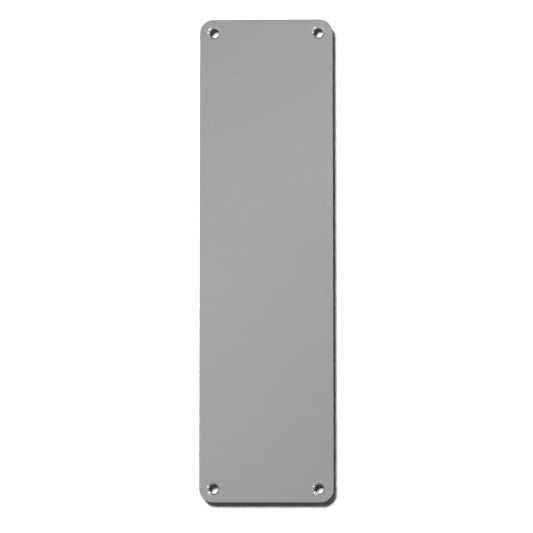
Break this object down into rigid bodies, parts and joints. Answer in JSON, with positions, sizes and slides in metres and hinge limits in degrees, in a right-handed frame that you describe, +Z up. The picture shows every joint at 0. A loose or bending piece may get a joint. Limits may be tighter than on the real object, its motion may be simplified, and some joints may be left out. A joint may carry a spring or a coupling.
{
  "type": "door finger plate",
  "caption": "Flat oblong metal plate with rounded corners and a countersunk screw hole near each corner, fixed to a door to take the push of hands.",
  "frame": {"origin": "centre of the back face, on the door's surface", "axes": "+Z up along the plate's height, +X along its width, +Y into the door; the front faces -Y"},
  "size_m": [0.07, 0.0015, 0.254],
  "materials": {
    "satin_anodised_aluminium": "satin etched and anodised, neutral mid grey"
  },
  "bodies": {
    "root": {"finger_plate": "satin_anodised_aluminium"}
  },
  "joints": []
}
